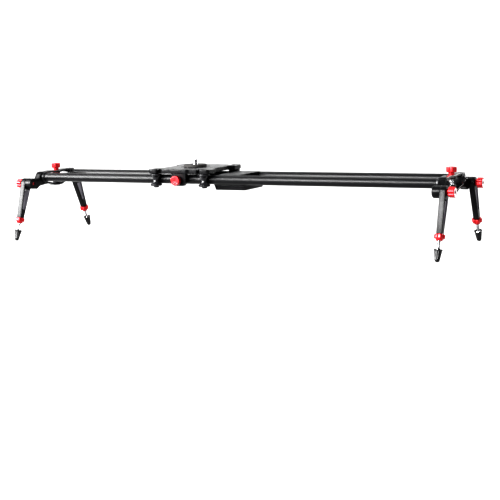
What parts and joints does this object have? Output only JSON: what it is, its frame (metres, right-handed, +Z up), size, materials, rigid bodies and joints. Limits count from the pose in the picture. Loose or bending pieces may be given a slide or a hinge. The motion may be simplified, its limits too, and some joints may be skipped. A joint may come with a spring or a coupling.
{
  "type": "camera slider",
  "caption": "Carbon-fibre twin-tube camera slider with a roller carriage, side brake knob, arched end brackets, splayed adjustable feet and a central tripod support.",
  "frame": {"origin": "on the floor under the middle of the rail, midway between the two tubes and the two ends", "axes": "+X along the tubes, -Y towards the operator and the brake knob, +Z up"},
  "size_m": [0.842, 0.2318, 0.1439],
  "materials": {
    "carbon_fibre": "twill carbon-fibre tube with a clear gloss coat",
    "black_anodised": "satin black anodised",
    "red_anodised": "bright red anodised, turned and fluted",
    "steel": "turned bright steel",
    "chrome": "polished chrome plate",
    "black_steel": "black oxide steel",
    "black_rubber": "matt black rubber",
    "roller_nylon": "black acetal, turned"
  },
  "bodies": {
    "rail": {"front_tube": "carbon_fibre", "back_tube": "carbon_fibre", "left_end_bracket": "black_anodised", "left_leg_yoke": "black_anodised", "left_front_tube_screw": "black_steel", "left_back_tube_screw": "black_steel", "right_end_bracket": "black_anodised", "right_leg_yoke": "black_anodised", "right_front_tube_screw": "black_steel", "right_back_tube_screw": "black_steel", "tripod_support": "black_anodised", "support_clamp_bar": "black_anodised", "left_clamp_screw": "black_steel", "right_clamp_screw": "black_steel"},
    "front_left_roller": {"front_left_roller": "roller_nylon", "front_left_roller_bearings": "steel"},
    "front_right_roller": {"front_right_roller": "roller_nylon", "front_right_roller_bearings": "steel"},
    "back_left_roller": {"back_left_roller": "roller_nylon", "back_left_roller_bearings": "steel"},
    "back_right_roller": {"back_right_roller": "roller_nylon", "back_right_roller_bearings": "steel"},
    "carriage": {"carriage_plate": "black_anodised", "camera_pad": "black_rubber", "camera_screw": "steel", "brake_block": "black_anodised", "left_brake_block_screw": "black_steel", "right_brake_block_screw": "black_steel", "front_left_roller_axle": "black_steel", "front_right_roller_axle": "black_steel", "back_left_roller_axle": "black_steel", "back_right_roller_axle": "black_steel"},
    "brake_knob": {"brake_knob": "red_anodised", "brake_screw": "steel"},
    "brake_pad": {"brake_pad": "black_rubber"},
    "left_thumbscrew": {"left_thumbscrew": "red_anodised", "left_thumbscrew_stud": "steel"},
    "left_front_leg": {"left_front_leg": "black_anodised"},
    "left_front_leg_knob": {"left_front_leg_knob": "red_anodised"},
    "left_front_foot": {"left_front_foot_rod": "chrome", "left_front_foot_boot": "black_rubber"},
    "left_front_lock_nut": {"left_front_lock_nut": "red_anodised"},
    "left_back_leg": {"left_back_leg": "black_anodised"},
    "left_back_leg_knob": {"left_back_leg_knob": "red_anodised"},
    "left_back_foot": {"left_back_foot_rod": "chrome", "left_back_foot_boot": "black_rubber"},
    "left_back_lock_nut": {"left_back_lock_nut": "red_anodised"},
    "right_thumbscrew": {"right_thumbscrew": "red_anodised", "right_thumbscrew_stud": "steel"},
    "right_front_leg": {"right_front_leg": "black_anodised"},
    "right_front_leg_knob": {"right_front_leg_knob": "red_anodised"},
    "right_front_foot": {"right_front_foot_rod": "chrome", "right_front_foot_boot": "black_rubber"},
    "right_front_lock_nut": {"right_front_lock_nut": "red_anodised"},
    "right_back_leg": {"right_back_leg": "black_anodised"},
    "right_back_leg_knob": {"right_back_leg_knob": "red_anodised"},
    "right_back_foot": {"right_back_foot_rod": "chrome", "right_back_foot_boot": "black_rubber"},
    "right_back_lock_nut": {"right_back_lock_nut": "red_anodised"}
  },
  "joints": [
    {"name": "carriage_slide", "type": "slide", "parent": "rail", "child": "carriage", "axis": [1, 0, 0], "range_m": [-0.24, 0.4]},
    {"name": "front_left_roller_spin", "type": "hinge", "parent": "carriage", "child": "front_left_roller", "pos_m": [-0.129, -0.0545, 0.11185], "axis": [0, 0, 1], "continuous": true},
    {"name": "front_right_roller_spin", "type": "hinge", "parent": "carriage", "child": "front_right_roller", "pos_m": [-0.031, -0.0545, 0.11185], "axis": [0, 0, 1], "continuous": true},
    {"name": "back_left_roller_spin", "type": "hinge", "parent": "carriage", "child": "back_left_roller", "pos_m": [-0.129, 0.0545, 0.11185], "axis": [0, 0, 1], "continuous": true},
    {"name": "back_right_roller_spin", "type": "hinge", "parent": "carriage", "child": "back_right_roller", "pos_m": [-0.031, 0.0545, 0.11185], "axis": [0, 0, 1], "continuous": true},
    {"name": "brake_knob_turn", "type": "hinge", "parent": "carriage", "child": "brake_knob", "pos_m": [-0.08, -0.0603, 0.11185], "axis": [0, 1, 0], "range_deg": [-180, 225]},
    {"name": "brake_pad_slide", "type": "slide", "parent": "carriage", "child": "brake_pad", "axis": [0, 1, 0], "range_m": [-0.00035, 0.00044]},
    {"name": "left_thumbscrew_turn", "type": "hinge", "parent": "rail", "child": "left_thumbscrew", "pos_m": [-0.391, 0, 0.11185], "axis": [0, 0, 1], "range_deg": [0, 1080]},
    {"name": "left_front_leg_swing", "type": "hinge", "parent": "rail", "child": "left_front_leg", "pos_m": [-0.4035, -0.0755, 0.10255], "axis": [-1, 0, 0], "range_deg": [-50, 70]},
    {"name": "left_front_leg_knob_turn", "type": "hinge", "parent": "left_front_leg", "child": "left_front_leg_knob", "pos_m": [-0.4035, -0.0755, 0.10255], "axis": [-1, 0, 0], "range_deg": [0, 720]},
    {"name": "left_front_foot_adjust", "type": "slide", "parent": "left_front_leg", "child": "left_front_foot", "axis": [0, -0.3453, -0.9385], "range_m": [-0.012, 0.01]},
    {"name": "left_front_lock_nut_turn", "type": "hinge", "parent": "left_front_leg", "child": "left_front_lock_nut", "pos_m": [-0.4035, -0.10002, 0.03592], "axis": [0, -0.3453, -0.9385], "range_deg": [0, 720]},
    {"name": "left_back_leg_swing", "type": "hinge", "parent": "rail", "child": "left_back_leg", "pos_m": [-0.4035, 0.0755, 0.10255], "axis": [1, 0, 0], "range_deg": [-50, 70]},
    {"name": "left_back_leg_knob_turn", "type": "hinge", "parent": "left_back_leg", "child": "left_back_leg_knob", "pos_m": [-0.4035, 0.0755, 0.10255], "axis": [-1, 0, 0], "range_deg": [0, 720]},
    {"name": "left_back_foot_adjust", "type": "slide", "parent": "left_back_leg", "child": "left_back_foot", "axis": [0, 0.3453, -0.9385], "range_m": [-0.012, 0.01]},
    {"name": "left_back_lock_nut_turn", "type": "hinge", "parent": "left_back_leg", "child": "left_back_lock_nut", "pos_m": [-0.4035, 0.10002, 0.03592], "axis": [0, 0.3453, -0.9385], "range_deg": [0, 720]},
    {"name": "right_thumbscrew_turn", "type": "hinge", "parent": "rail", "child": "right_thumbscrew", "pos_m": [0.391, 0, 0.11185], "axis": [0, 0, 1], "range_deg": [0, 1080]},
    {"name": "right_front_leg_swing", "type": "hinge", "parent": "rail", "child": "right_front_leg", "pos_m": [0.4035, -0.0755, 0.10255], "axis": [-1, 0, 0], "range_deg": [-50, 70]},
    {"name": "right_front_leg_knob_turn", "type": "hinge", "parent": "right_front_leg", "child": "right_front_leg_knob", "pos_m": [0.4035, -0.0755, 0.10255], "axis": [1, 0, 0], "range_deg": [0, 720]},
    {"name": "right_front_foot_adjust", "type": "slide", "parent": "right_front_leg", "child": "right_front_foot", "axis": [0, -0.3453, -0.9385], "range_m": [-0.012, 0.01]},
    {"name": "right_front_lock_nut_turn", "type": "hinge", "parent": "right_front_leg", "child": "right_front_lock_nut", "pos_m": [0.4035, -0.10002, 0.03592], "axis": [0, -0.3453, -0.9385], "range_deg": [0, 720]},
    {"name": "right_back_leg_swing", "type": "hinge", "parent": "rail", "child": "right_back_leg", "pos_m": [0.4035, 0.0755, 0.10255], "axis": [1, 0, 0], "range_deg": [-50, 70]},
    {"name": "right_back_leg_knob_turn", "type": "hinge", "parent": "right_back_leg", "child": "right_back_leg_knob", "pos_m": [0.4035, 0.0755, 0.10255], "axis": [1, 0, 0], "range_deg": [0, 720]},
    {"name": "right_back_foot_adjust", "type": "slide", "parent": "right_back_leg", "child": "right_back_foot", "axis": [0, 0.3453, -0.9385], "range_m": [-0.012, 0.01]},
    {"name": "right_back_lock_nut_turn", "type": "hinge", "parent": "right_back_leg", "child": "right_back_lock_nut", "pos_m": [0.4035, 0.10002, 0.03592], "axis": [0, 0.3453, -0.9385], "range_deg": [0, 720]}
  ],
  "couplings": [
    {"joint": "front_left_roller_spin", "follows": "carriage_slide", "rad_per_m": 181.82},
    {"joint": "front_right_roller_spin", "follows": "carriage_slide", "rad_per_m": 181.82},
    {"joint": "back_left_roller_spin", "follows": "carriage_slide", "rad_per_m": -181.82},
    {"joint": "back_right_roller_spin", "follows": "carriage_slide", "rad_per_m": -181.82},
    {"joint": "brake_pad_slide", "follows": "brake_knob_turn", "m_per_rad": 0.0001114}
  ]
}
